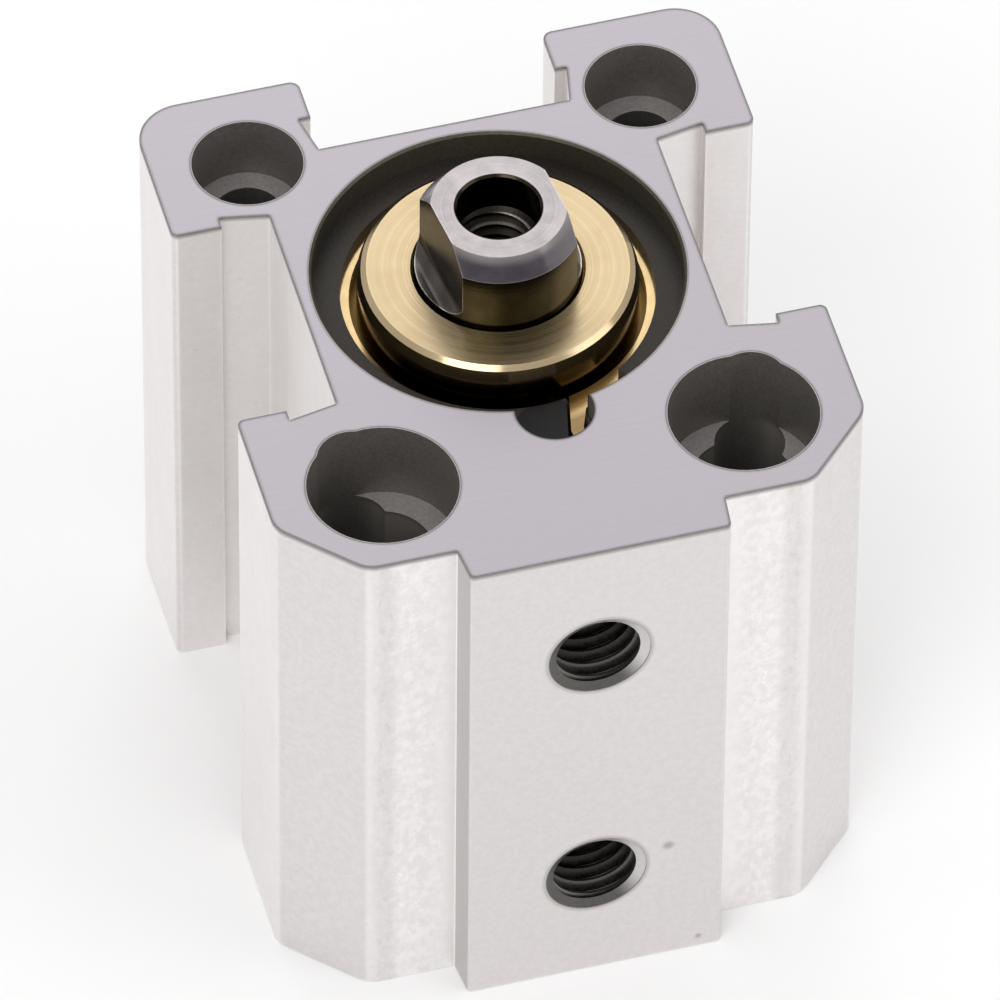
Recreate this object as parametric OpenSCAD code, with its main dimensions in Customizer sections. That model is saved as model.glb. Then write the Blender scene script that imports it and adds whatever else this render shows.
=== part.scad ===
// Short-stroke double-acting pneumatic cylinder with a profile body.
// Millimetres. The origin is on the piston axis, in the bottom face. +Z is the way the rod moves out,
// -Y is the side with the two air ports.

/* [Stroke] */
// Travel of the piston rod
stroke = 10; // [5:5:30]
// Turn of the wrench flats about the rod axis, in degrees
rod_turn = 7; // [0:1:180]

/* [Body profile] */
// Width of the body across its left and right faces
body_w = 29; // [28.5:0.1:30]
// Distance from the piston axis to the rear faces
rear_y = 14.4; // [14.2:0.1:15]
// Distance from the piston axis to the front faces of the corner ears
ear_y = 16.7; // [16.6:0.1:17.2]
// Distance from the piston axis to the port face
port_face_y = 18.5; // [18.2:0.1:19.5]
// Width of the port face
port_face_w = 12.7; // [12:0.1:13]
// Leg of the bevel on the two front corners
front_bevel = 3.6; // [3:0.1:4]
// Radius of the rear corners
rear_corner_r = 2.3; // [1:0.1:2.5]

/* [Sensor grooves] */
// Opening width of a sensor groove
groove_open = 12.2; // [11.8:0.1:12.4]
// Width of a sensor groove just behind its lips
groove_wide = 13.4; // [12.8:0.1:13.6]
// Width of a sensor groove at its floor
groove_floor_w = 12.5; // [12:0.1:12.8]
// Thickness of the groove lips
groove_lip = 2.45; // [2:0.05:2.6]
// Distance from the piston axis to the floors of the two side grooves
side_floor_x = 9.65; // [9.6:0.05:9.8]
// Distance from the piston axis to the floor of the rear groove
rear_floor_y = 9.8; // [9.6:0.05:10]

/* [Fixing holes] */
// Square spacing of the four through holes
hole_pitch = 19.6; // [19.4:0.1:20]
// Diameter of the through holes
hole_d = 3.4; // [3.2:0.1:3.6]
// Diameter of the two rear counterbores
rear_cb_d = 5.4; // [5:0.1:5.6]
// Depth of the two rear counterbores
rear_cb_depth = 3.6; // [2:0.1:4]
// Diameter of the two front counterbores
front_cb_d = 7.26; // [6.8:0.02:7.3]
// Depth of the two front counterbores
front_cb_depth = 4.6; // [2:0.1:5]
// Diameter of the two holes below the front counterbores
front_hole_d = 4.8; // [4.4:0.1:5]
// Depth of those two holes below the top face
front_hole_depth = 10; // [8:0.5:14]
// Sideways distance from the piston axis to the front counterbores
front_cb_x = 8.85; // [8.7:0.05:9]
// Distance from the piston axis to the front counterbores, towards the ports
front_cb_y = 11.8; // [11.6:0.05:12]

/* [Air ports] */
// Nominal diameter of the port threads (M5)
port_d = 5; // [4.5:0.1:5.2]
// Depth of the port threads
port_depth = 5.5; // [4:0.5:6.5]
// Diameter of the drilled channel from each port to the bore
channel_d = 2.4; // [1.5:0.1:2.6]
// Height of the rear port above the bottom face
rear_port_z = 7; // [6.9:0.1:7.4]
// Depth of the front port below the top face
front_port_drop = 7.45; // [7.4:0.05:7.6]

/* [Bore and rod] */
// Piston diameter, the inside of the bore
piston_d = 16; // [15.8:0.1:16]
// Diameter of the open mouth at the top of the bore
mouth_d = 17.86; // [17.6:0.02:18]
// Depth of the mouth down to its ledge
mouth_depth = 1.5; // [1.2:0.1:1.6]
// Diameter of the piston rod
rod_d = 8; // [7.8:0.1:8]
// Height of the rod end above the top face with the rod in
rod_out = 4.5; // [4:0.1:6]
// Distance across the wrench flats
flats_w = 5.9; // [5.6:0.1:6.5]
// Length of the wrench flats
flats_l = 4; // [2:0.1:4.2]
// Nominal diameter of the thread in the rod end (M4)
rod_thread_d = 4; // [3.5:0.1:4]
// Depth of the thread in the rod end
rod_thread_depth = 8; // [5:0.5:10]

/* [Hidden] */
$fn = 96;
gap = 0.05;      // running clearance on a radius
over = 1;        // how far a cut runs past the face it leaves

fixed_length = 20.5;                  // body height with no stroke
body_h = fixed_length + stroke;
piston_r = piston_d / 2;
rod_r = rod_d / 2;

// front end, from the top face down
ledge_z = body_h - mouth_depth;       // ledge of the mouth
lip_r = 7.57;                         // inner edge of the ledge
ring_z = ledge_z - 0.5;               // underside of the ledge, top of the ring groove
ring_h = 0.8;
ring_groove_h = 0.85;
ring_groove_r = 8.2;
seat_z = ring_z - ring_groove_h;      // top of the flange of the bearing cap
seat_r = 7.5;
stop_z = body_h - 5.3;                // rib that the bearing cap stands on
stop_r = 6.9;
chamber_z = body_h - 6.2;             // underside of the rib, top of the working bore
notch_x = 0.25;
notch_y = -9.26;
notch_r = 1.88;
notch_slot_z = seat_z - 0.2;          // floor of the slot in the notch, for the tab of the snap ring
rim_edge = 0.12;

// rear end, from the bottom face up
cover_r = 8.2;                        // bore for the rear cover
cover_top = 4;
clip_z = 0.7;
clip_h = 1;
clip_groove_r = 8.75;
bumper_h = 0.6;

// piston, as it stands with the rod in
piston_z = cover_top + bumper_h;
magnet_z = piston_z + 1.2;
land_z = piston_z + 3;                // bottom of the full-width part
nose_z = piston_z + 7.7;              // top of the full-width part, and the rod's shoulder
piston_top = piston_z + 8.9;
land_r = piston_r - 0.07;
nose_r = 6.6;
spigot_r = 2.5;
spigot_z = piston_z + 1.5;
seal_z = piston_z + 3.7;
seal_h = 1.7;
seal_groove_r = 6;
wear_z = piston_z + 6;
wear_h = 1.2;
wear_groove_r = 7.1;
screw_r = 1.5;                        // M3
screw_recess_r = 2.9;
washer_z = piston_z + 1;
washer_h = 0.3;

// bearing cap
hub_r = 6.77;
hub_top = body_h + 0.25;
flange_r = seat_r - gap;
spigot_outer_r = stop_r - gap;
pocket_r = 5.6;
pocket_z = chamber_z + 2.3;
oring_z = stop_z + 0.5;
oring_h = 1.35;
oring_groove_r = 6.4;
retainer_h = 0.4;
front_bumper_h = 0.8;

function unit(v) = v / norm(v);
function quarter_turn(points) = [for (p = points) [-p[1], p[0], p[2]]];
function flipped(points) = [for (i = [len(points) - 1:-1:0]) [-points[i][0], points[i][1], points[i][2]]];

// Outline of a sensor groove cut into the face at x = face, each point as [x, y, corner radius]
function groove(face, floor_at, corner) = let (back = face - groove_lip) [
    [face, -groove_open / 2, corner], [back, -groove_open / 2, 0], [back, -groove_wide / 2, 0],
    [floor_at, -groove_floor_w / 2, 0], [floor_at, groove_floor_w / 2, 0],
    [back, groove_wide / 2, 0], [back, groove_open / 2, 0], [face, groove_open / 2, corner]];

// Right-hand side of the body outline, from the port face round to the rear groove
half_outline = concat(
    [[port_face_w / 2, -port_face_y, 0.25], [port_face_w / 2 + 0.2, -ear_y, 0],
        [body_w / 2 - front_bevel, -ear_y, 1.5], [body_w / 2, front_bevel - ear_y, 1.5]],
    groove(body_w / 2, side_floor_x, 0.35),
    [[body_w / 2, rear_y, rear_corner_r]]);
body_outline = concat(half_outline, quarter_turn(groove(rear_y, rear_floor_y, 0.5)), flipped(half_outline));

// What a fillet of radius r takes off the corner p, whose neighbours are a and b
module corner_cut(p, a, b, r) {
    to_a = unit(a - p);
    to_b = unit(b - p);
    inward = unit(to_a + to_b);
    half_angle = acos(to_a * to_b) / 2;
    centre = p + inward * r / sin(half_angle);
    difference() {
        polygon([p + to_a * r / tan(half_angle), centre, p + to_b * r / tan(half_angle), p - inward * r]);
        translate(centre) circle(r);
    }
}

module rounded_outline(points) {
    flat = [for (p = points) [p[0], p[1]]];
    n = len(flat);
    difference() {
        polygon(flat);
        for (i = [0:n - 1])
            if (points[i][2] > 0)
                corner_cut(flat[i], flat[(i + n - 1) % n], flat[(i + 1) % n], points[i][2]);
    }
}

// Solid of revolution about the cylinder axis, from [radius, height] points
module turned(profile) {
    rotate_extrude() polygon(profile);
}

module tube(r_out, r_in, z, h) {
    turned([[r_in, z], [r_out, z], [r_out, z + h], [r_in, z + h]]);
}

module o_ring(r_in, r_out, z) {
    section = (r_out - r_in) / 2;
    translate([0, 0, z]) rotate_extrude() translate([r_in + section, 0]) circle(section);
}

// Everything turned out of the body along the piston axis
module bore() {
    turned([[0, -over], [cover_r + 0.2, -over], [cover_r + 0.2, 0], [cover_r, 0.2],
        [cover_r, clip_z - gap], [clip_groove_r, clip_z - gap], [clip_groove_r, clip_z + clip_h],
        [cover_r, clip_z + clip_h], [cover_r, cover_top], [piston_r, cover_top],
        [piston_r, chamber_z], [stop_r, chamber_z], [stop_r, stop_z], [seat_r, stop_z],
        [seat_r, seat_z], [ring_groove_r, seat_z], [ring_groove_r, ring_z], [lip_r, ring_z],
        [lip_r, ledge_z], [mouth_d / 2, ledge_z], [mouth_d / 2, body_h - rim_edge],
        [mouth_d / 2 + rim_edge, body_h], [mouth_d / 2 + rim_edge, body_h + over], [0, body_h + over]]);
}

// One fixing hole from face to face, with its counterbore of diameter cb_d centred on cb
module fixing_hole(at, cb, cb_d, cb_depth) {
    edge = 0.3;
    translate([at[0], at[1], -over]) cylinder(d = hole_d, h = body_h + 2 * over);
    translate([at[0], at[1], 0]) cylinder(r1 = hole_d / 2 + edge, r2 = hole_d / 2, h = edge);
    translate([cb[0], cb[1], body_h - cb_depth]) cylinder(d = cb_d, h = cb_depth + over);
}

module air_port(z) {
    drill_tip = port_d / 2 * tan(31);
    translate([0, -port_face_y, z]) rotate([-90, 0, 0]) {
        translate([0, 0, -over]) cylinder(d = port_d, h = port_depth + over);
        translate([0, 0, port_depth]) cylinder(r1 = port_d / 2, r2 = 0, h = drill_tip);
        cylinder(d = channel_d, h = port_face_y - piston_r + over);
    }
}

// Way out for the end of the snap ring: the deep side of the notch, and the break in the ledge next to it
module notch_slot() {
    difference() {
        translate([notch_x, notch_y]) circle(notch_r - gap);
        polygon([[-3, -6], [1.68, -6], [0.29, -12], [-3, -12]]);
    }
    intersection() {
        circle(mouth_d / 2 - gap);
        polygon([[0, 0], 12 * [cos(80), -sin(80)], 12 * [cos(56), -sin(56)]]);
    }
}

module cylinder_body() {
    hole = hole_pitch / 2;
    color("#dcd9d6") difference() {
        linear_extrude(body_h) rounded_outline(body_outline);
        bore();
        translate([notch_x, notch_y, ledge_z]) cylinder(r = notch_r, h = mouth_depth + over);
        translate([0, 0, notch_slot_z]) linear_extrude(ledge_z - notch_slot_z + over) notch_slot();
        for (side = [-1, 1]) {
            fixing_hole([side * hole, hole], [side * hole, hole], rear_cb_d, rear_cb_depth);
            fixing_hole([side * hole, -hole], [side * front_cb_x, -front_cb_y], front_cb_d, front_cb_depth);
            translate([side * front_cb_x, -front_cb_y, body_h - front_hole_depth])
                cylinder(d = front_hole_d, h = front_hole_depth);
        }
        air_port(rear_port_z);
        air_port(body_h - front_port_drop);
    }
}

module bearing_cap() {
    bearing_r = rod_r + gap;
    color("#d9bf86") turned([[bearing_r, pocket_z], [pocket_r, pocket_z], [pocket_r, chamber_z],
        [spigot_outer_r, chamber_z], [spigot_outer_r, stop_z], [flange_r, stop_z], [flange_r, oring_z],
        [oring_groove_r, oring_z], [oring_groove_r, oring_z + oring_h], [flange_r, oring_z + oring_h],
        [flange_r, seat_z], [hub_r, seat_z], [hub_r, hub_top - 0.7], [hub_r - 0.2, hub_top - 0.2],
        [hub_r - 0.46, hub_top],
        [bearing_r + 0.15, hub_top], [bearing_r, hub_top - 0.15]]);
}

// Open ring under the ledge of the mouth, with one end bent out through the slot of the notch
module snap_ring() {
    inner_r = 7.14;
    outer_r = ring_groove_r - gap;
    end_x = 1.6;
    ring_gap_x = 1.9;
    tab = [[end_x, -7.05], [1.14, -9.1], [1.2, -9.6], [1.5, -9.75], [1.74, -9.5], [1.78, -9], [2.05, -8.3],
        [2.45, -7.2]];
    color("#cfae6c") {
        difference() {
            tube(outer_r, inner_r, ring_z - ring_h, ring_h);
            translate([end_x - ring_gap_x, -outer_r - over, ring_z - ring_h - over])
                cube([ring_gap_x, outer_r - inner_r + 3 * over, ring_h + 2 * over]);
        }
        translate([0, 0, ring_z - ring_h]) linear_extrude(ring_h) polygon(tab);
    }
}

module cap_o_ring() {
    color("#1c1c1e") o_ring(oring_groove_r + 0.02, seat_r - 0.02, oring_z + oring_h / 2);
}

// Lip seal round the rod, open towards the pressure side
module rod_seal() {
    z = chamber_z + retainer_h;
    inner = rod_r + gap;
    outer = pocket_r - 0.02;
    mid = (inner + outer) / 2;
    color("#2a3a30") turned([[inner, z], [inner + 0.3, z], [mid, z + 0.8], [outer - 0.3, z],
        [outer, z], [outer, pocket_z], [inner + 0.3, pocket_z], [inner + 0.3, z + 0.9]]);
}

module seal_retainer() {
    color("#b9b9bd") tube(pocket_r - 0.02, rod_r + 0.3, chamber_z, retainer_h);
}

module front_bumper() {
    color("#c8903a") tube(nose_r, rod_r + 0.6, chamber_z - front_bumper_h, front_bumper_h);
}

// What one wrench flat takes off the rod, seen along the flat: x out from the axis, y up from its foot
module flat_cut() {
    foot = [flats_w / 2, 0];
    foot_r = 0.7;
    difference() {
        translate(foot) square([rod_d, flats_l + over]);
        corner_cut(foot, foot + [0, 1], foot + [1, 0], foot_r);
    }
}

module piston_rod() {
    end_z = body_h + rod_out;
    end_edge = 1.05;
    end_r = 3.25;
    thread_r = rod_thread_d / 2;
    thread_end = end_z - rod_thread_depth;
    screw_end = spigot_z + 5.5;
    color("#77757a") difference() {
        turned([[0, spigot_z], [spigot_r - 0.2, spigot_z], [spigot_r, spigot_z + 0.2],
            [spigot_r, nose_z], [rod_r, nose_z], [rod_r, end_z - end_edge], [end_r, end_z], [0, end_z]]);
        turned([[0, thread_end - thread_r * tan(31)], [thread_r, thread_end], [thread_r, end_z - 0.1],
            [thread_r + 0.1, end_z], [thread_r + 0.1, end_z + over], [0, end_z + over]]);
        turned([[0, spigot_z - over], [screw_r, spigot_z - over], [screw_r, screw_end],
            [0, screw_end + screw_r * tan(31)]]);
        rotate([0, 0, rod_turn]) for (side = [0, 180])
            rotate([0, 0, side]) translate([0, rod_d, end_z - flats_l]) rotate([90, 0, 0])
                linear_extrude(2 * rod_d) flat_cut();
    }
}

module piston_front() {
    o_ring_seat_r = 3.55;
    color("#c9ccd0") turned([[spigot_r + 0.02, land_z], [land_r, land_z], [land_r, seal_z],
        [seal_groove_r, seal_z], [seal_groove_r, seal_z + seal_h], [land_r, seal_z + seal_h],
        [land_r, wear_z], [wear_groove_r, wear_z], [wear_groove_r, wear_z + wear_h],
        [land_r, wear_z + wear_h], [land_r, nose_z], [nose_r, nose_z], [nose_r, piston_top],
        [rod_r + 0.02, piston_top], [rod_r + 0.02, nose_z], [o_ring_seat_r, nose_z],
        [o_ring_seat_r, nose_z - 1], [spigot_r + 0.02, nose_z - 1]]);
}

module piston_rear() {
    hub = 3.4;
    ledge = washer_z + washer_h;
    color("#c9ccd0") turned([[screw_recess_r, piston_z], [nose_r - 0.3, piston_z], [nose_r, piston_z + 0.3],
        [nose_r, magnet_z], [hub, magnet_z], [hub, land_z], [spigot_r + 0.02, land_z],
        [spigot_r + 0.02, ledge], [screw_recess_r, ledge]]);
}

module magnet_ring() {
    color("#3b3b40") tube(nose_r, 3.42, magnet_z, land_z - magnet_z);
}

// Double-acting piston seal with a lip on each side
module piston_seal() {
    inner = seal_groove_r + gap;
    outer = piston_r - 0.03;
    low = seal_z + gap;
    high = seal_z + seal_h - gap;
    mid = (low + high) / 2;
    color("#1c1c1e") turned([[inner, low + 0.2], [inner + 0.2, low], [outer - 0.8, low + 0.35],
        [outer - 0.3, low], [outer, low], [outer, low + 0.3], [outer - 0.25, mid],
        [outer, high - 0.3], [outer, high], [outer - 0.3, high], [outer - 0.8, high - 0.35],
        [inner + 0.2, high], [inner, high - 0.2]]);
}

module wear_ring() {
    color("#e6dfcf") tube(piston_r - 0.04, wear_groove_r + gap, wear_z + gap, wear_h - 2 * gap);
}

module rod_o_ring() {
    color("#1c1c1e") o_ring(spigot_r + 0.03, spigot_r + 0.97, nose_z - 0.5);
}

// Low-head M3 screw with a hexagon socket, from the rear of the piston into the rod
module piston_screw() {
    head_z = piston_z + 0.1;
    head_r = 2.75;
    socket_w = 2;
    color("#55565c") difference() {
        turned([[0, head_z], [head_r - 0.2, head_z], [head_r, head_z + 0.2], [head_r, washer_z],
            [screw_r - gap, washer_z], [screw_r - gap, washer_z + 5.6], [0, washer_z + 5.6]]);
        translate([0, 0, head_z - over]) cylinder(d = socket_w / cos(30), h = over + 0.6, $fn = 6);
    }
}

module screw_washer() {
    color("#b9b9bd") tube(screw_recess_r - gap, screw_r + 0.1, washer_z, washer_h);
}

module rear_bumper() {
    color("#c8903a") tube(6, 3.2, cover_top, bumper_h);
}

module rear_cover() {
    bottom = clip_z + clip_h;
    groove_z = bottom + 0.5;
    groove_h = 1.3;
    groove_r = 7.1;
    outer = cover_r - gap;
    recess_r = 5;
    recess_depth = 0.8;
    color("#cfd1d4") turned([[0, bottom + recess_depth], [recess_r, bottom + recess_depth],
        [recess_r + 0.3, bottom], [outer - 0.2, bottom], [outer, bottom + 0.2], [outer, groove_z],
        [groove_r, groove_z], [groove_r, groove_z + groove_h], [outer, groove_z + groove_h],
        [outer, cover_top], [0, cover_top]]);
}

module rear_o_ring() {
    color("#1c1c1e") o_ring(7.12, cover_r - 0.02, clip_z + clip_h + 1.15);
}

// Spring steel ring for a bore, with two eyes for the pliers
module rear_retaining_ring() {
    inner_r = 7.3;
    outer_r = clip_groove_r - gap;
    eye_r = 1.15;
    eye_at = 6.7;
    eye_turn = 13;
    color("#4a4b50") difference() {
        union() {
            tube(outer_r, inner_r, clip_z, clip_h);
            for (turn = [-eye_turn, eye_turn])
                rotate([0, 0, turn - 90]) translate([eye_at, 0, clip_z]) cylinder(r = eye_r, h = clip_h);
        }
        for (turn = [-eye_turn, eye_turn])
            rotate([0, 0, turn - 90]) translate([eye_at, 0, clip_z - over]) cylinder(r = 0.5, h = clip_h + 2 * over);
        translate([-0.5, -outer_r - over, clip_z - over]) cube([1, 6, clip_h + 2 * over]);
    }
}

cylinder_body();
bearing_cap();
snap_ring();
cap_o_ring();
rod_seal();
seal_retainer();
front_bumper();
piston_rod();
piston_front();
piston_rear();
magnet_ring();
piston_seal();
wear_ring();
rod_o_ring();
piston_screw();
screw_washer();
rear_bumper();
rear_cover();
rear_o_ring();
rear_retaining_ring();
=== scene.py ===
import math

import bmesh
import bpy
from mathutils import Matrix, Vector


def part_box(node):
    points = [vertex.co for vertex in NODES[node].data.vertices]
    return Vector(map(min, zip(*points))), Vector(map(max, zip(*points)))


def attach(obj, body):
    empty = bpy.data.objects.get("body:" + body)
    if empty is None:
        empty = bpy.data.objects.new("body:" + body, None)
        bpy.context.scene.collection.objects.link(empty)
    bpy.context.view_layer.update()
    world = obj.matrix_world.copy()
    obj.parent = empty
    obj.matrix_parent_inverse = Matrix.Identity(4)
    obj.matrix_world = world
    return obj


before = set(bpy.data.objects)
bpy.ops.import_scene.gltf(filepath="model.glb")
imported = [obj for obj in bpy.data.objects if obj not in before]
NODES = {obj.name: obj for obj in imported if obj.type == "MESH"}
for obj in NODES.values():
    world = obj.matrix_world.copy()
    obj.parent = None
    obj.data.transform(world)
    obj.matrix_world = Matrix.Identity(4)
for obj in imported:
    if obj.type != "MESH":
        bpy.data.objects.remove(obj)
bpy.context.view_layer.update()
MM = 0.001

# Heights of the body's top face and of the rod end at rest, in millimetres
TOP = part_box("cylinder_body")[1].z / MM
ROD_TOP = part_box("piston_rod")[1].z / MM


# ---------------------------------------------------------------- camera

CAMERA_ANGLES = (-15.71, 48.65, 0.56)        # azimuth from -Y, elevation, roll; degrees
CAMERA_AT = (-134.8, -480.0, TOP + 549.9)    # millimetres
LENS = 559.5                                 # millimetres
SENSOR = 36                                  # millimetres
CLIP = (0.05, 10)                            # metres


def make_camera():
    """A long lens above the port side, as in the photograph."""
    azimuth, elevation, roll = (math.radians(a) for a in CAMERA_ANGLES)
    back = Vector((math.sin(azimuth) * math.cos(elevation),
                   -math.cos(azimuth) * math.cos(elevation), math.sin(elevation)))
    level = Vector((math.cos(azimuth), math.sin(azimuth), 0))
    up = back.cross(level)
    right = math.cos(roll) * level + math.sin(roll) * up
    up = back.cross(right)
    data = bpy.data.cameras.new("camera")
    data.lens = LENS
    data.sensor_width = SENSOR
    data.clip_start, data.clip_end = CLIP
    camera = bpy.data.objects.new("camera", data)
    matrix = Matrix((right, up, back)).transposed().to_4x4()
    matrix.translation = Vector(CAMERA_AT) * MM
    camera.matrix_world = matrix
    bpy.context.scene.collection.objects.link(camera)
    bpy.context.scene.camera = camera


make_camera()


# ---------------------------------------------------------------- material nodes

def brighter(colour, by):
    return tuple(min(1, c * by) for c in colour)


class Finish:
    """A procedural material. Positions inside it are in millimetres in the row frame."""

    def __init__(self, name):
        self.material = bpy.data.materials.new(name)
        self.material.use_nodes = True
        self.tree = self.material.node_tree
        self.shader = self.tree.nodes["Principled BSDF"]
        coords = self.tree.nodes.new("ShaderNodeTexCoord").outputs["Object"]
        scaled = self.add("ShaderNodeVectorMath", {0: coords, "Scale": 1 / MM}, operation="SCALE")
        self.at = scaled.outputs[0]
        split = self.add("ShaderNodeSeparateXYZ", {0: self.at})
        self.x, self.y, self.z = split.outputs

    def add(self, kind, sockets=None, **props):
        node = self.tree.nodes.new(kind)
        for key, value in props.items():
            setattr(node, key, value)
        for key, value in (sockets or {}).items():
            self.put(node.inputs[key], value)
        return node

    def put(self, socket, value):
        if isinstance(value, bpy.types.NodeSocket):
            self.tree.links.new(value, socket)
        elif isinstance(value, tuple) and len(value) == 3 and socket.type == "RGBA":
            socket.default_value = (*value, 1)
        else:
            socket.default_value = value

    def set(self, **sockets):
        for key, value in sockets.items():
            self.put(self.shader.inputs[key.replace("_", " ")], value)

    def math(self, operation, *values):
        return self.add("ShaderNodeMath", dict(enumerate(values)), operation=operation).outputs[0]

    def times(self, first, *others):
        """Product of all the values."""
        for value in others:
            first = self.math("MULTIPLY", first, value)
        return first

    def without(self, value):
        """1 minus the value."""
        return self.math("SUBTRACT", 1.0, value)

    def vector(self, operation, first, second):
        return self.add("ShaderNodeVectorMath", {0: first, 1: second}, operation=operation).outputs

    def ramp(self, value, low, high, to_low=0.0, to_high=1.0):
        """Smooth change from to_low to to_high as the value goes from low to high."""
        sockets = dict(enumerate((value, low, high, to_low, to_high)))
        return self.add("ShaderNodeMapRange", sockets, interpolation_type="SMOOTHSTEP").outputs[0]

    def spread(self, noise, to_low=0.0, to_high=1.0):
        """The usual range of a noise, drawn out to to_low and to_high."""
        return self.ramp(noise, 0.3, 0.7, to_low, to_high)

    def mix(self, factor, a, b):
        """Colour a where the factor is 0, colour b where it is 1."""
        return self.add("ShaderNodeMix", {0: factor, 6: a, 7: b}, data_type="RGBA").outputs[2]

    def blend(self, factor, a, b):
        """Number a where the factor is 0, number b where it is 1."""
        return self.add("ShaderNodeMix", {0: factor, 2: a, 3: b}, data_type="FLOAT").outputs[0]

    def noise(self, scale, detail=3.0, stretch=(1, 1, 1), rough=0.55):
        where = self.at
        if stretch != (1, 1, 1):
            where = self.vector("MULTIPLY", where, stretch)[0]
        node = self.add("ShaderNodeTexNoise", {"Vector": where, "Scale": scale, "Detail": detail,
                                               "Roughness": rough})
        return node.outputs[0]

    def rings(self, scale, detail=4.0):
        """Noise that changes only with the distance from the axis and the height: marks of turning."""
        where = self.add("ShaderNodeCombineXYZ", {0: self.radial(), 1: self.z, 2: 0.0}).outputs[0]
        node = self.add("ShaderNodeTexNoise", {"Vector": where, "Scale": scale, "Detail": detail,
                                               "Roughness": 0.7})
        return node.outputs[0]

    def radial(self, x=0.0, y=0.0, along=None):
        """Distance from the vertical line through x, y, or with along=self.z from the line along Y
        through x and the height y."""
        a = self.math("SUBTRACT", self.x, x)
        b = self.math("SUBTRACT", along or self.y, y)
        return self.math("SQRT", self.math("ADD", self.times(a, a), self.times(b, b)))

    def edges(self, radius):
        """1 on sharp edges, 0 on open faces."""
        rounded = self.add("ShaderNodeBevel", {"Radius": radius * MM}, samples=6).outputs[0]
        flat = self.tree.nodes.new("ShaderNodeNewGeometry").outputs["Normal"]
        agree = self.vector("DOT_PRODUCT", rounded, flat)["Value"]
        return self.ramp(agree, 0.995, 0.85)

    def bump(self, height, depth):
        """Bump of the given depth in millimetres for a height of 0 to 1."""
        sockets = {"Height": height, "Distance": depth * MM, "Strength": 1.0}
        return self.add("ShaderNodeBump", sockets).outputs[0]

    def normal(self):
        """The three parts of the face's own normal."""
        normal = self.tree.nodes.new("ShaderNodeNewGeometry").outputs["Normal"]
        return self.add("ShaderNodeSeparateXYZ", {0: normal}).outputs

    def facing(self):
        """The Z part of the face's own normal."""
        return self.normal()[2]


# Places on the body, in millimetres. A hole is x, y and radius.
HOLES = [(side * 9.8, 9.8, 2.7) for side in (-1, 1)]           # rear counterbores
HOLES += [(side * 8.85, -11.8, 3.63) for side in (-1, 1)]      # front counterbores
HOLES += [(side * 9.8, -9.8, 1.7) for side in (-1, 1)]         # front through holes
MOUTH = (0, 0, 9.05)           # with the bevel on its edge
NOTCH = (0.25, -9.26, 1.88)
PORT_FACE_Y = -18.5
PORT_FACE_X = 6.35             # half the width of the port face
PORTS = [7.0, TOP - 7.45]      # heights of the two ports
PORT_R = 2.5
PORT_MINOR = 2.07              # radius inside the port threads
PORT_PITCH = 0.8
PORT_MOUTH = 0.26              # depth of a port's countersunk mouth
PORT_START_Y = PORT_FACE_Y + 0.3    # start of the port threads
PORT_THREAD = 5.1              # length of the port threads
PORT_END_Y = -8.0              # the ports' channels end here, in the bore
EAR_Y = -16.7                  # front faces of the ears
BEVEL_X = 10.9                 # inner edge of the front bevels
CB_FLOOR = TOP - 4.6           # floors of the front counterbores
NICKS = [(3.6, TOP - 22.5, 0.42), (5.2, TOP - 29.8, 0.25)]    # marks on the port face: x, z, radius

# The rod and the thread in its end, in millimetres
ROD_R = 4.0
ROD_BEVEL = 1.05               # height of the bevel round the end face
ROD_HOLE_R = 2.12
ROD_THREAD_R = 2.0
ROD_MINOR = 1.63               # radius inside the thread
ROD_PITCH = 0.7
ROD_START = ROD_TOP - 2.1      # start of the thread
ROD_THREAD = 5.7               # length of the thread

PALE_WEAR_AND_HIGHLIGHT = (1.0, 0.99, 0.985)      # colour of worn edges with a painted highlight on them, and of flakes on the ear fronts
EAR_HIGHLIGHT = (0.97, 0.955, 0.95)     # painted highlight on the ear fronts next to the port face


def nearest_hole(f):
    """Distance outside the nearest hole or port of the body, and outside the nearest port."""
    nearest = None
    for x, y, r in HOLES + [MOUTH, NOTCH]:
        off = f.math("SUBTRACT", f.radial(x, y), r)
        nearest = f.math("MINIMUM", nearest, off) if nearest else off
    port = None
    for z in PORTS:
        off = f.math("SUBTRACT", f.radial(0.0, z, along=f.z), PORT_R)
        port = f.math("MINIMUM", port, off) if port else off
    past_end = f.math("SUBTRACT", f.y, PORT_END_Y)
    return f.math("MINIMUM", nearest, f.math("MAXIMUM", port, past_end)), port


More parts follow.
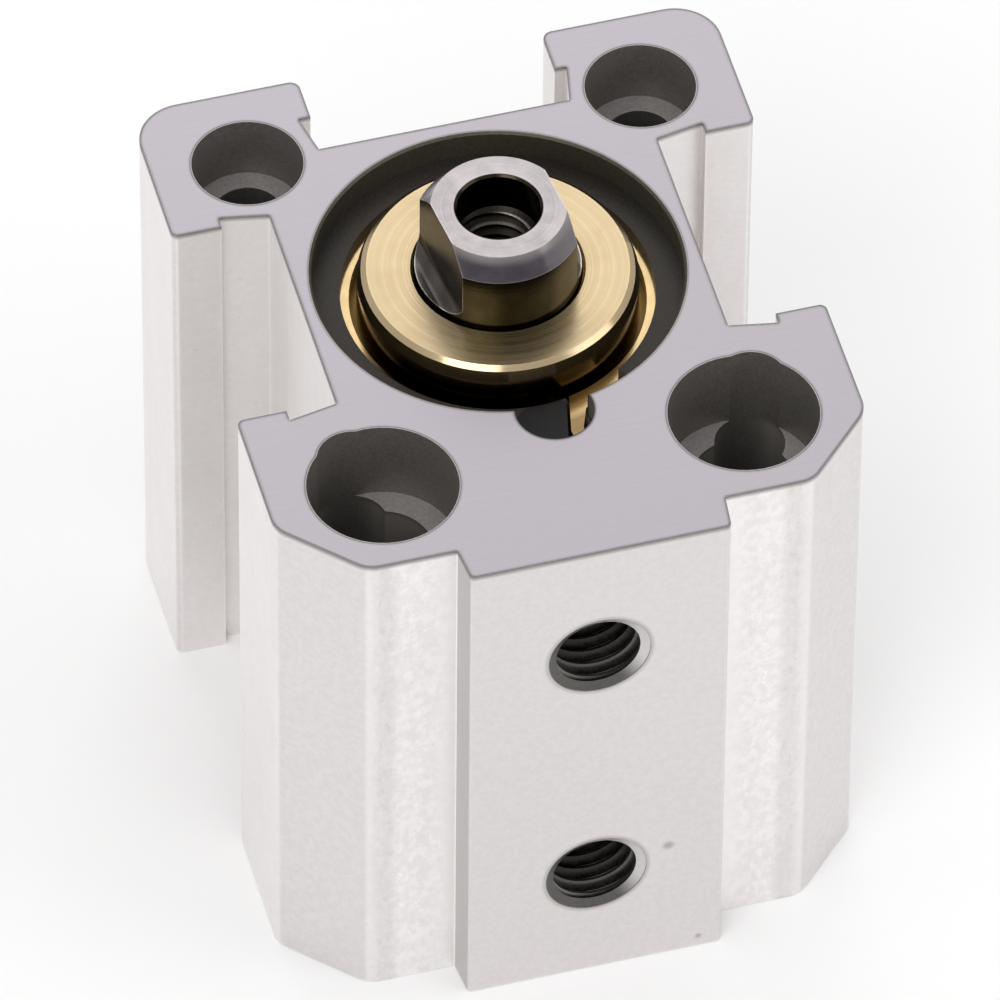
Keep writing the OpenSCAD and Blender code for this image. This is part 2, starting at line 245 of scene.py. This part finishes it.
def body_sides(f, cloud):
    """Colour of the blasted outside, with mottled ear fronts that are dull by the bevels, painted shade on
    the chamfers and on the boss flanks, and a painted highlight on the ear fronts next to the port face.
    Also gives where the port face is, and the dull part."""
    wide = f.math("ABSOLUTE", f.x)
    outward = f.normal()
    boss = f.ramp(f.y, PORT_FACE_Y + 0.6, PORT_FACE_Y + 0.3)
    bevel = f.ramp(f.math("SUBTRACT", f.math("ABSOLUTE", outward[0]), outward[1]), 1.3, 1.39)
    flank = f.times(f.ramp(f.y, EAR_Y - 0.05, EAR_Y - 0.1),
                    f.ramp(f.y, PORT_FACE_Y + 0.08, PORT_FACE_Y + 0.14))
    ear_front = f.times(f.ramp(f.y, EAR_Y + 0.4, EAR_Y + 0.1), f.ramp(wide, BEVEL_X, BEVEL_X - 0.7))
    inner = f.times(ear_front, f.ramp(wide, PORT_FACE_X + 1.85, PORT_FACE_X + 0.15))
    by_bevel = f.times(ear_front, f.ramp(wide, BEVEL_X - 1.7, BEVEL_X - 1.0))

    grit = f.ramp(f.noise(2.6, 5, rough=0.75), 0.35, 0.65)
    streak = f.ramp(f.noise(1.3, 4, stretch=(1, 1, 0.12)), 0.45, 0.7)
    flake = f.ramp(f.noise(3.6, 4, rough=0.7), 0.52, 0.64)
    mottle = f.ramp(f.noise(2.3, 5, stretch=(1.3, 1, 0.8), rough=0.6), 0.40, 0.66)
    pitted = f.ramp(f.noise(2.4, 5, stretch=(1, 1, 0.5), rough=0.7), 0.54, 0.62)
    speck = f.ramp(f.noise(3.2, 2, rough=0.4), 0.74, 0.78)

    side = f.mix(f.ramp(cloud, 0.25, 0.75), (0.845, 0.815, 0.805), (0.875, 0.845, 0.835))
    side = f.mix(f.times(grit, 0.5), side, (0.80, 0.77, 0.762))
    side = f.mix(f.times(mottle, ear_front, 0.7), side, (0.95, 0.932, 0.926))
    side = f.mix(f.times(streak, flake, ear_front), side, PALE_WEAR_AND_HIGHLIGHT)
    side = f.mix(f.times(streak, 0.2), side, (0.90, 0.88, 0.875))
    # painted highlight: the ear fronts are lighter next to the port face
    side = f.mix(f.times(inner, 0.8), side, EAR_HIGHLIGHT)
    side = f.mix(f.times(by_bevel, f.blend(pitted, 0.45, 0.75)), side, (0.67, 0.65, 0.645))
    port_face = f.mix(f.times(grit, 0.8), (0.755, 0.725, 0.717), (0.705, 0.675, 0.667))
    side = f.mix(boss, side, port_face)
    for x, z, r in NICKS:
        nick = f.ramp(f.radial(x, z, along=f.z), r, r * 0.2)
        side = f.mix(f.times(nick, boss, 0.6), side, (0.30, 0.28, 0.27))
    # painted shade on the boss flanks between the ears and the port face
    side = f.mix(flank, side, (0.57, 0.55, 0.54))
    # painted shade on the chamfer faces
    side = f.mix(bevel, side, f.mix(grit, (0.765, 0.735, 0.73), (0.715, 0.686, 0.68)))
    return f.mix(f.times(speck, 0.2), side, (0.45, 0.42, 0.40)), boss, by_bevel


def body_holes(f, fine):
    """Colour inside the holes, the mouth and its notch: dark walls with painted shade and paler floors with
    painted light.
    """
    def speckled(dark, light):
        return f.mix(f.spread(fine), dark, light)

    flat = f.ramp(f.facing(), 0.7, 0.95)
    # painted light: the walls of the front holes are lighter below the counterbore floors
    deep = f.times(f.ramp(f.z, CB_FLOOR + 0.1, CB_FLOOR - 0.4), f.ramp(f.y, -8.0, -9.0))
    in_mouth = f.ramp(f.radial(), MOUTH[2] + 0.05, MOUTH[2] - 0.05)
    in_notch = f.ramp(f.radial(NOTCH[0], NOTCH[1]), NOTCH[2] + 0.07, NOTCH[2] + 0.02)
    # painted shade on the walls and painted light on the upward floors; the mouth's wall is lighter than its
    # nearly black ledge
    wall = f.mix(deep, speckled((0.15, 0.138, 0.124), (0.215, 0.20, 0.184)), (0.36, 0.335, 0.31))
    floor = speckled((0.38, 0.352, 0.345), (0.53, 0.49, 0.485))
    mouth_wall = speckled((0.065, 0.057, 0.042), (0.105, 0.092, 0.070))
    ledge = speckled((0.024, 0.020, 0.017), (0.046, 0.040, 0.035))
    hole = f.mix(in_mouth, f.mix(flat, wall, floor), f.mix(flat, mouth_wall, ledge))
    # painted shade: the notch floor is nearly black
    return f.mix(f.times(in_notch, flat), hole, (0.013, 0.012, 0.013))


def body_finish():
    """Blasted extrusion with a machined top face and dark holes with painted shade."""
    f = Finish("body_aluminium")
    cloud = f.noise(0.35, 4)
    fine = f.noise(7.0, 4, rough=0.7)
    drawn = f.noise(2.0, 5, stretch=(6, 6, 0.25), rough=0.65)
    milled = f.noise(1.5, 5, stretch=(0.3, 9, 1), rough=0.7)

    nearest, port_rim = nearest_hole(f)
    in_hole = f.ramp(nearest, 0.05, 0.01)
    open_face = f.without(in_hole)
    on_top = f.times(f.ramp(f.facing(), 0.9, 0.97), f.ramp(f.z, TOP - 0.2, TOP - 0.05))
    side, boss, by_bevel = body_sides(f, cloud)
    top = f.mix(f.spread(milled), (0.385, 0.355, 0.39), (0.41, 0.38, 0.413))
    colour = f.mix(on_top, side, top)

    # Worn edges with a painted highlight on them, then painted shade: the dark line round the top face, a
    # dark band at the top of the sides, and the dark rims of the holes and ports
    patches = f.ramp(f.noise(1.2, 3), 0.25, 0.6, 0.5, 1.0)
    # painted highlight on the edges, in patches, with some wear
    worn_and_highlit = f.times(f.edges(0.17), patches, open_face, f.without(by_bevel))
    colour = f.mix(f.times(worn_and_highlit, 0.95), colour, PALE_WEAR_AND_HIGHLIGHT)
    # painted shade: a dark line along the top edges
    outline = f.times(f.edges(0.34), open_face, f.ramp(f.z, TOP - 0.16, TOP - 0.09))
    colour = f.mix(outline, colour, (0.09, 0.083, 0.08))
    # painted shade: a dark band along the top of the sides
    band = f.times(f.ramp(f.z, TOP - 0.36, TOP - 0.1), f.without(on_top))
    colour = f.mix(f.times(band, 0.7), colour, (0.28, 0.265, 0.255))
    # painted shadow round the port mouths on the port face and round the holes on the top face
    rim_shadow = f.math("ADD", f.times(f.ramp(port_rim, 0.3, 0.0), f.times(boss, 0.4)),
                 f.times(f.ramp(nearest, 0.12, 0.04), f.times(on_top, 0.6)))
    colour = f.mix(rim_shadow, colour, (0.12, 0.11, 0.10))
    colour = f.mix(in_hole, colour, body_holes(f, fine))

    roughness = f.blend(on_top, f.ramp(fine, 0.2, 0.8, 0.42, 0.52),
                        f.ramp(milled, 0.2, 0.8, 0.34, 0.42))
    roughness = f.blend(in_hole, roughness, f.ramp(fine, 0.2, 0.8, 0.42, 0.56))
    grain = f.math("ADD", f.times(fine, 0.7), f.times(drawn, 0.3))
    grain = f.blend(on_top, grain, f.times(milled, 0.25))
    f.set(Base_Color=colour, Metallic=f.blend(in_hole, 0.9, 0.5), Roughness=roughness,
          Normal=f.bump(grain, 0.005))
    return f.material


def brass_finish(name, light, dark, shaded, top_roughness=(0.24, 0.36), shade_at=None, darker_from_r=None):
    """Turned brass, with rings about the axis; the sides are polished and darker low down with painted
    shade.
    shade_at is the direction from the axis in which painted dark shade lies, and darker_from_r the radius
    beyond which the metal is darker."""
    f = Finish(name)
    ring = f.rings(9.0)
    cloud = f.spread(f.noise(0.5, 4))
    stain = f.ramp(f.noise(1.6, 2), 0.66, 0.74)
    colour = f.mix(cloud, dark, light)
    colour = f.mix(f.times(f.ramp(ring, 0.4, 0.7), 0.15), colour, brighter(light, 1.08))
    colour = f.mix(f.times(stain, 0.2), colour, (0.45, 0.30, 0.14))
    # painted shade: the sides are darker low down
    low = f.ramp(f.z, TOP - 0.3, TOP - 1.2)
    colour = f.mix(low, colour, f.mix(cloud, shaded, brighter(shaded, 1.3)))
    if shade_at:
        # painted shade: dark on the side of the axis that the given direction points to
        towards = f.math("ADD", f.times(f.x, shade_at[0]), f.times(f.y, shade_at[1]))
        painted_shade = f.ramp(f.math("DIVIDE", towards, f.radial()), 0.80, 0.92)
        colour = f.mix(painted_shade, colour, (0.035, 0.025, 0.008))
    if darker_from_r:
        # the ring is darker beyond the given radius, on its tab
        tab_dark = f.mix(cloud, (0.17, 0.112, 0.052), (0.26, 0.185, 0.095))
        colour = f.mix(f.ramp(f.radial(), darker_from_r, darker_from_r + 0.6), colour, tab_dark)
    up = f.ramp(f.facing(), 0.75, 0.95)
    rough = f.blend(up, f.spread(ring, 0.09, 0.15), f.spread(ring, *top_roughness))
    f.set(Base_Color=colour, Metallic=1.0, Roughness=rough, Normal=f.bump(ring, 0.0014))
    return f.material


def steel_finish(name, light, dark, roughness=(0.2, 0.34), ring_scale=7.0, depth=0.004):
    """Turned or ground steel or aluminium."""
    f = Finish(name)
    ring = f.rings(ring_scale)
    scratch = f.ramp(f.noise(3.0, 3, stretch=(4, 4, 0.5)), 0.68, 0.75)
    colour = f.mix(f.spread(f.noise(0.8, 4)), dark, light)
    colour = f.mix(f.times(f.edges(0.08), 0.6), colour, brighter(light, 1.7))
    rough = f.math("ADD", f.spread(ring, *roughness), f.times(scratch, 0.12))
    f.set(Base_Color=colour, Metallic=1.0, Roughness=rough, Normal=f.bump(ring, depth))
    return f.material


def rod_finish():
    """Ground rod, dark on its side with a painted highlight on its right, a satin end face, painted
    highlights on the bevel and edges, and painted shade in the threaded hole.
    """
    f = Finish("rod_steel_finish")
    ring = f.rings(7.0)
    cloud = f.spread(f.noise(0.9, 4))
    up = f.facing()
    near_end = f.ramp(f.z, ROD_TOP - ROD_BEVEL - 0.15, ROD_TOP - ROD_BEVEL - 0.05)
    on_end = f.times(f.ramp(up, 0.8, 0.95), near_end)
    on_bevel = f.times(f.ramp(up, 0.3, 0.6), near_end)
    in_hole = f.ramp(f.radial(), ROD_HOLE_R + 0.04, ROD_HOLE_R)
    right = f.ramp(f.math("DIVIDE", f.x, f.radial()), 0.35, 0.75)

    side = f.mix(cloud, (0.032, 0.028, 0.016), (0.048, 0.042, 0.025))
    # painted highlight on the right of the rod's side
    side = f.mix(right, side, (0.19, 0.168, 0.122))
    side = f.mix(f.ramp(f.z, TOP + 0.5, TOP - 4), side, (0.19, 0.18, 0.165))
    wrench_flat = f.mix(cloud, (0.058, 0.051, 0.045), (0.092, 0.083, 0.076))
    side = f.mix(f.ramp(f.radial(), ROD_R - 0.03, ROD_R - 0.1), side, wrench_flat)
    bevel = f.mix(cloud, (0.070, 0.062, 0.074), (0.105, 0.094, 0.108))
    # painted highlight along the top of the bevel
    bevel = f.mix(f.ramp(f.z, ROD_TOP - 0.5, ROD_TOP - 0.02), bevel, (0.26, 0.237, 0.242))
    # painted highlight on the right of the bevel
    bevel = f.mix(f.times(right, 0.5), bevel, (0.32, 0.295, 0.295))
    face = f.mix(cloud, (0.41, 0.376, 0.378), (0.51, 0.47, 0.47))
    inside = f.mix(cloud, (0.016, 0.013, 0.008), (0.035, 0.030, 0.020))

    colour = f.mix(on_end, f.mix(on_bevel, side, bevel), face)
    # painted highlight on the edges
    colour = f.mix(f.times(f.edges(0.14), 0.7), colour, (0.70, 0.67, 0.66))
    # painted shade inside the threaded hole
    colour = f.mix(in_hole, colour, inside)
    rough = f.blend(on_end, f.spread(ring, 0.16, 0.24), f.spread(ring, 0.34, 0.5))
    f.set(Base_Color=colour, Metallic=1.0, Roughness=rough, Normal=f.bump(ring, 0.003))
    return f.material


def soft_finish(name, light, dark, roughness=(0.5, 0.7), depth=0.01):
    """Rubber, polyurethane or plastic."""
    f = Finish(name)
    grain = f.noise(5.0, 4, rough=0.65)
    colour = f.mix(f.spread(f.noise(0.7, 3)), dark, light)
    colour = f.mix(f.times(f.edges(0.08), 0.4), colour, brighter(light, 1.6))
    f.set(Base_Color=colour, Roughness=f.spread(grain, *roughness), Normal=f.bump(grain, depth))
    return f.material


def thread_finish(name, crest, flank, crest_r, fade, centre_z=None):
    """Cut thread: painted highlight on the crests near the mouth, dark flanks. fade is the depth of the
    mouth and of the dark end of the painted highlight, along the hole; centre_z is given for a hole that
    runs along Y."""
    f = Finish(name)
    grain = f.noise(6.0, 3)
    if centre_z is None:
        radius, depth = f.radial(), f.z
    else:
        radius, depth = f.radial(0.0, centre_z, along=f.z), f.y
    # painted highlight on the crests near the mouth, fading to dark deeper in
    lit_near_mouth = f.ramp(depth, fade[1], fade[0])
    on_crest = f.times(f.ramp(radius, crest_r + 0.16, crest_r + 0.06), lit_near_mouth)
    colour = f.mix(f.spread(grain), flank, brighter(flank, 1.6))
    colour = f.mix(on_crest, colour, crest)
    f.set(Base_Color=colour, Metallic=0.9, Roughness=f.spread(grain, 0.28, 0.42),
          Normal=f.bump(grain, 0.004))
    return f.material


def mouth_finish(name, centre_z):
    """Countersunk mouth of a port, with painted shade on the left and below and painted light on the right
    and above.
    """
    f = Finish(name)
    grain = f.noise(6.0, 4)
    towards = f.math("ADD", f.times(f.x, 0.8), f.times(f.math("SUBTRACT", f.z, centre_z), 0.6))
    # painted light on the right and above, painted shade on the left and below
    lit_side = f.ramp(towards, -0.4, 1.5)
    colour = f.mix(lit_side, (0.085, 0.080, 0.075), (0.68, 0.66, 0.65))
    colour = f.mix(f.times(grain, 0.3), colour, (0.30, 0.29, 0.28))
    f.set(Base_Color=colour, Metallic=0.9, Roughness=f.spread(grain, 0.3, 0.42),
          Normal=f.bump(grain, 0.004))
    return f.material


RUBBER = soft_finish("black_rubber", (0.045, 0.045, 0.048), (0.022, 0.022, 0.024))
URETHANE = soft_finish("bumper_urethane", (0.62, 0.38, 0.13), (0.50, 0.28, 0.08), (0.3, 0.45))
PTFE = soft_finish("wear_ring_ptfe", (0.82, 0.77, 0.66), (0.72, 0.66, 0.54), (0.35, 0.5))
MAGNET = soft_finish("magnet_ferrite", (0.10, 0.10, 0.11), (0.05, 0.05, 0.055), (0.45, 0.65))
BRIGHT_STEEL = steel_finish("zinc_plated_steel", (0.70, 0.70, 0.71), (0.55, 0.55, 0.56))
DARK_STEEL = steel_finish("oiled_steel", (0.20, 0.20, 0.21), (0.10, 0.10, 0.11))
TURNED = steel_finish("turned_aluminium", (0.82, 0.82, 0.83), (0.70, 0.70, 0.72), (0.3, 0.42), 5.0, 0.006)

FINISHES = {
    "cylinder_body": body_finish(),
    "bearing_cap": brass_finish("turned_brass", (0.515, 0.405, 0.250), (0.470, 0.365, 0.218),
                                (0.085, 0.052, 0.016)),
    "snap_ring": brass_finish("ring_brass", (0.50, 0.37, 0.21), (0.44, 0.32, 0.17), (0.40, 0.295, 0.155),
                              (0.12, 0.2), shade_at=(-0.56, -0.83), darker_from_r=8.0),
    "piston_rod": rod_finish(),
    "cap_o_ring": RUBBER,
    "rod_seal": RUBBER,
    "piston_seal": RUBBER,
    "rod_o_ring": RUBBER,
    "rear_o_ring": RUBBER,
    "front_bumper": URETHANE,
    "rear_bumper": URETHANE,
    "wear_ring": PTFE,
    "magnet_ring": MAGNET,
    "seal_retainer": BRIGHT_STEEL,
    "screw_washer": BRIGHT_STEEL,
    "piston_screw": DARK_STEEL,
    "rear_retaining_ring": DARK_STEEL,
    "piston_front": TURNED,
    "piston_rear": TURNED,
    "rear_cover": TURNED,
}
for name, material in FINISHES.items():
    mesh = NODES[name].data
    mesh.materials.clear()
    mesh.materials.append(material)


# ---------------------------------------------------------------- threads and port mouths

THREAD_STEPS = 48     # sections in a turn of a thread
MOUTH_STEPS = 96      # sections round a port mouth
RUN_OUT = 0.25        # turns in which a thread runs out at its inner end
SINK = 0.03           # how far these pieces reach into the wall of their hole, in millimetres
LEAST_RIDGE = 0.03    # height at the ends of a thread, as a share of the full height
SHARP = 0.6           # edges that bend more than this stay sharp, in radians


def new_object(name, mesh, material):
    """Turns a bmesh into an object of the scene."""
    data = bpy.data.meshes.new(name)
    mesh.to_mesh(data)
    mesh.free()
    data.materials.append(material)
    made = bpy.data.objects.new(name, data)
    bpy.context.scene.collection.objects.link(made)
    return made


def join_sections(mesh, pairs):
    """Faces between the two closed sections of each pair."""
    for a, b in pairs:
        for j in range(len(a)):
            k = (j + 1) % len(a)
            mesh.faces.new((a[j], a[k], b[k], b[j]))


def thread(name, body, origin, axis, major, minor, pitch, length, material, lead=0.6):
    """Internal thread: a helical ridge that stands in from the wall of radius major to radius minor.
    origin is on the mouth end of the thread and axis points into the hole; millimetres. The ridge rises
    to its full height over lead turns and runs out over RUN_OUT turns."""
    count = int(length / pitch * THREAD_STEPS)
    root, crest = pitch * 0.47, pitch * 0.09    # half the width of the ridge
    axis = Vector(axis)
    across = axis.orthogonal().normalized()
    other = axis.cross(across)
    mesh = bmesh.new()
    sections = []
    for i in range(count + 1):
        angle = 2 * math.pi * i / THREAD_STEPS
        depth = length * i / count
        height = min(1, i / (THREAD_STEPS * lead), (count - i) / (THREAD_STEPS * RUN_OUT))
        inner = major - (major - minor) * max(LEAST_RIDGE, height)
        direction = math.cos(angle) * across + math.sin(angle) * other
        section = []
        for offset, radius in ((-root, major + SINK), (-crest, inner), (crest, inner), (root, major + SINK)):
            along = min(max(depth + offset, 0), length)
            section.append(mesh.verts.new((Vector(origin) + axis * along + direction * radius) * MM))
        sections.append(section)
    join_sections(mesh, zip(sections, sections[1:]))
    mesh.faces.new(sections[0][::-1])
    mesh.faces.new(sections[-1])
    bmesh.ops.recalc_face_normals(mesh, faces=mesh.faces)
    piece = new_object(name, mesh, material)
    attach(piece, body)


def countersink(name, body, centre, outer, inner, depth, material):
    """Ring with a conical mouth, set into a hole that runs along +Y from centre; millimetres."""
    profile = ((outer + SINK, SINK), (inner, depth), (outer + SINK, depth + 0.3))
    mesh = bmesh.new()
    sections = []
    for i in range(MOUTH_STEPS):
        angle = 2 * math.pi * i / MOUTH_STEPS
        direction = Vector((math.cos(angle), 0, math.sin(angle)))
        sections.append([mesh.verts.new((Vector(centre) + Vector((0, y, 0)) + direction * r) * MM)
                         for r, y in profile])
    join_sections(mesh, zip(sections, sections[1:] + sections[:1]))
    bmesh.ops.recalc_face_normals(mesh, faces=mesh.faces)
    for face in mesh.faces:
        face.smooth = True
    for edge in mesh.edges:
        edge.smooth = edge.calc_face_angle(0) < SHARP
    piece = new_object(name, mesh, material)
    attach(piece, body)


for name, z in (("rear_port", PORTS[0]), ("front_port", PORTS[1])):
    metal = thread_finish(name + "_thread_metal", (0.18, 0.165, 0.155), (0.038, 0.034, 0.03), PORT_MINOR,
                          (PORT_START_Y + 0.2, PORT_START_Y + 2.1), z)
    thread(name + "_thread", "barrel", (0, PORT_START_Y, z), (0, 1, 0), PORT_R, PORT_MINOR,
           PORT_PITCH, PORT_THREAD, metal, lead=0.1)
    countersink(name + "_mouth", "barrel", (0, PORT_FACE_Y, z), PORT_R, PORT_MINOR, PORT_MOUTH,
                mouth_finish(name + "_mouth_metal", z))
metal = thread_finish("rod_thread_metal", (0.30, 0.285, 0.26), (0.014, 0.011, 0.008), ROD_MINOR,
                      (ROD_START - 0.1, ROD_START - 1.3))
thread("rod_end_thread", "rod", (0, 0, ROD_START), (0, 0, -1), ROD_THREAD_R, ROD_MINOR,
       ROD_PITCH, ROD_THREAD, metal)


# ---------------------------------------------------------------- floor and light

FLOOR_REACH = 3.0          # from the middle to each side
FLOOR_DROP = 0.00002       # keeps the floor just clear of the base face
LIGHTS = (                 # name, place, size and power; metres and watts
    ("key", (-0.25, -0.30, 0.45), (0.30, 0.30), 0.9),
    ("fill", (0.40, -0.20, 0.30), (0.30, 0.30), 0.45),
    ("back", (0.05, 0.45, 0.40), (0.40, 0.30), 0.5),
)
LIGHTS_AIM = (0, 0, 0.015)
WORLD_STRENGTH = 0.78


def make_floor():
    mesh = bmesh.new()
    bmesh.ops.create_grid(mesh, x_segments=4, y_segments=4, size=FLOOR_REACH)
    f = Finish("floor_white")
    f.set(Base_Color=(0.92, 0.92, 0.92), Roughness=0.9)
    floor = new_object("floor", mesh, f.material)
    floor.location.z = -FLOOR_DROP


def area_light(name, at, size, power):
    data = bpy.data.lights.new(name, "AREA")
    data.shape = "RECTANGLE"
    data.size, data.size_y = size
    data.energy = power
    light = bpy.data.objects.new(name, data)
    light.location = at
    light.rotation_euler = (Vector(LIGHTS_AIM) - Vector(at)).to_track_quat("-Z", "Y").to_euler()
    bpy.context.scene.collection.objects.link(light)


def make_world():
    world = bpy.data.worlds.new("studio")
    world.use_nodes = True
    background = world.node_tree.nodes["Background"]
    background.inputs["Color"].default_value = (1, 1, 1, 1)
    background.inputs["Strength"].default_value = WORLD_STRENGTH
    bpy.context.scene.world = world


make_floor()
for light in LIGHTS:
    area_light(*light)
make_world()
bpy.context.scene.view_settings.view_transform = "Standard"
